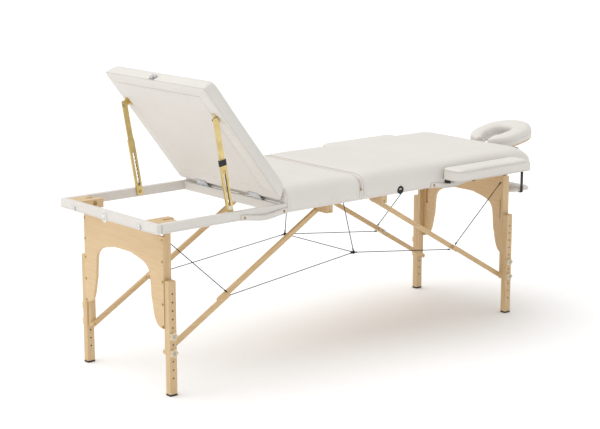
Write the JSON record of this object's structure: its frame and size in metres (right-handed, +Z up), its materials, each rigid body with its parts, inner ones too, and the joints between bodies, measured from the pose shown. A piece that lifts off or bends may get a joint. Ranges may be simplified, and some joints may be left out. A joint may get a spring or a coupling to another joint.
{
  "type": "portable massage table",
  "caption": "Folding wooden massage table with a ratcheted lifting backrest, height-adjustable cable-braced legs, face cradle, armrests and hanging arm shelf.",
  "frame": {"origin": "on the floor, under the middle of the bounding box", "axes": "+X along the bed towards the face cradle, +Y to the left of a person lying with the head at the cradle, +Z up"},
  "size_m": [2.1225, 0.812, 1.0856],
  "materials": {
    "upholstery": "ivory PU leather, fine grain, satin",
    "backing": "light non-woven lining",
    "rail_wrap": "ivory PU wrapped tight over wood",
    "plywood": "raw plywood",
    "beech": "pale lacquered beech, satin",
    "zinc_steel": "yellow passivated zinc",
    "bright_steel": "bright zinc plated",
    "brass_screws": "brass plated",
    "steel_cable": "stranded, dark",
    "knob_plastic": "cream moulded",
    "black_plastic": "black moulded",
    "white_plastic": "white moulded",
    "rubber_feet": "black rubber",
    "webbing": "folded ivory PU strap",
    "black_steel": "black powder coat",
    "black_webbing": "black webbing"
  },
  "bodies": {
    "foot_half": {"foot_side_rails": "rail_wrap", "foot_end_rail": "rail_wrap", "foot_cross_rails": "rail_wrap", "foot_wood_blocks": "beech", "foot_fasteners": "brass_screws", "middle_board": "plywood", "middle_pad": "upholstery", "foot_carry_strap": "webbing", "foot_hinge_leaves": "bright_steel", "end_bumpers": "white_plastic", "end_latch_keeper": "white_plastic", "foot_cables": "steel_cable"},
    "backrest": {"backrest_board": "plywood", "backrest_pad": "upholstery", "backrest_liner": "backing", "backrest_hinge_leaves": "bright_steel", "backrest_catch": "black_plastic", "stay_brackets": "zinc_steel"},
    "stay_channels": {"stay_channels": "zinc_steel", "stay_caps": "black_plastic"},
    "stay_struts": {"stay_struts": "zinc_steel"},
    "foot_leg": {"foot_leg_posts": "beech", "foot_leg_panel": "beech", "foot_leg_screws": "bright_steel", "foot_leg_knobs": "knob_plastic"},
    "foot_leg_boards": {"foot_leg_boards": "beech", "foot_leg_feet": "rubber_feet"},
    "foot_brace_lower": {"foot_brace_lower": "beech"},
    "foot_brace_upper": {"foot_brace_upper": "beech", "foot_knee_bolts": "bright_steel"},
    "head_half": {"head_side_rails": "rail_wrap", "head_cross_rails": "rail_wrap", "head_wood_blocks": "beech", "head_fasteners": "brass_screws", "head_board": "plywood", "head_pad": "upholstery", "head_carry_strap": "webbing", "head_hinge_leaves": "bright_steel", "armrest_bushes": "black_plastic", "head_cables": "steel_cable"},
    "head_leg": {"head_leg_posts": "beech", "head_leg_panel": "beech", "head_leg_screws": "bright_steel", "head_leg_knobs": "knob_plastic"},
    "head_leg_boards": {"head_leg_boards": "beech", "head_leg_feet": "rubber_feet"},
    "head_brace_lower": {"head_brace_lower": "beech"},
    "head_brace_upper": {"head_brace_upper": "beech", "head_knee_bolts": "bright_steel"},
    "cradle_base": {"cradle_rods": "black_steel", "cradle_lock": "black_plastic"},
    "cradle_head": {"cradle_plate": "plywood", "cradle_pad": "upholstery"},
    "armrest_near": {"armrest_near_pad": "upholstery", "armrest_near_bracket": "black_steel"},
    "armrest_far": {"armrest_far_pad": "upholstery", "armrest_far_bracket": "black_steel"},
    "arm_shelf": {"shelf_straps": "black_webbing", "shelf_pad": "upholstery"}
  },
  "joints": [
    {"name": "centre_fold", "type": "hinge", "parent": "foot_half", "child": "head_half", "pos_m": [-0.1373, 0, 0.5815], "axis": [0, 1, 0], "range_deg": [0, 90], "deforming": ["head_cables", "foot_cables"]},
    {"name": "backrest_lift", "type": "hinge", "parent": "foot_half", "child": "backrest", "pos_m": [-0.5153, 0, 0.6183], "axis": [0, 1, 0], "range_deg": [-52, 0]},
    {"name": "stay_turn", "type": "hinge", "parent": "foot_half", "child": "stay_channels", "pos_m": [-0.7253, 0, 0.605], "axis": [0, 1, 0], "range_deg": [-80.91, 0]},
    {"name": "stay_slide", "type": "slide", "parent": "stay_channels", "child": "stay_struts", "axis": [-0.1747, 0, 0.9846], "range_m": [-0.1317, 0]},
    {"name": "foot_leg_fold", "type": "hinge", "parent": "foot_half", "child": "foot_leg", "pos_m": [-0.9708, 0, 0.603], "axis": [0, -1, 0], "range_deg": [0, 85.5], "deforming": ["foot_cables"]},
    {"name": "foot_leg_height", "type": "slide", "parent": "foot_leg", "child": "foot_leg_boards", "axis": [0, 0, 1], "range_m": [-0.15, 0.09]},
    {"name": "foot_brace_lower_turn", "type": "hinge", "parent": "foot_leg", "child": "foot_brace_lower", "pos_m": [-0.9708, 0, 0.15], "axis": [0, -1, 0], "range_deg": [0, 59.51]},
    {"name": "foot_brace_upper_turn", "type": "hinge", "parent": "foot_half", "child": "foot_brace_upper", "pos_m": [-0.2723, 0, 0.558], "axis": [0, 1, 0], "range_deg": [0, 34.28]},
    {"name": "head_leg_fold", "type": "hinge", "parent": "head_half", "child": "head_leg", "pos_m": [0.6962, 0, 0.603], "axis": [0, 1, 0], "range_deg": [0, 85.5], "deforming": ["head_cables"]},
    {"name": "head_leg_height", "type": "slide", "parent": "head_leg", "child": "head_leg_boards", "axis": [0, 0, 1], "range_m": [-0.15, 0.09]},
    {"name": "head_brace_lower_turn", "type": "hinge", "parent": "head_leg", "child": "head_brace_lower", "pos_m": [0.6962, 0, 0.15], "axis": [0, 1, 0], "range_deg": [0, 59.51]},
    {"name": "head_brace_upper_turn", "type": "hinge", "parent": "head_half", "child": "head_brace_upper", "pos_m": [-0.0023, 0, 0.558], "axis": [0, -1, 0], "range_deg": [0, 34.28]},
    {"name": "cradle_slide", "type": "slide", "parent": "head_half", "child": "cradle_base", "axis": [1, 0, 0], "range_m": [0, 0.1]},
    {"name": "cradle_tilt", "type": "hinge", "parent": "cradle_base", "child": "cradle_head", "pos_m": [0.9027, 0, 0.628], "axis": [0, 1, 0], "range_deg": [-30, 11]},
    {"name": "armrest_near_slide", "type": "slide", "parent": "head_half", "child": "armrest_near", "axis": [0, -1, 0], "range_m": [0, 0.05]},
    {"name": "armrest_far_slide", "type": "slide", "parent": "head_half", "child": "armrest_far", "axis": [0, 1, 0], "range_m": [0, 0.05]},
    {"name": "shelf_swing", "type": "hinge", "parent": "head_half", "child": "arm_shelf", "pos_m": [0.7727, 0, 0.577], "axis": [0, 1, 0], "range_deg": [-20, 0]}
  ],
  "couplings": [
    {"joint": "stay_turn", "follows": "backrest_lift", "ratio": 1.5463},
    {"joint": "stay_slide", "follows": "backrest_lift", "m_per_rad": 0.14396},
    {"joint": "foot_brace_lower_turn", "follows": "foot_leg_fold", "ratio": 0.69252},
    {"joint": "foot_brace_upper_turn", "follows": "foot_leg_fold", "ratio": 0.39739},
    {"joint": "head_brace_lower_turn", "follows": "head_leg_fold", "ratio": 0.69252},
    {"joint": "head_brace_upper_turn", "follows": "head_leg_fold", "ratio": 0.39739}
  ]
}
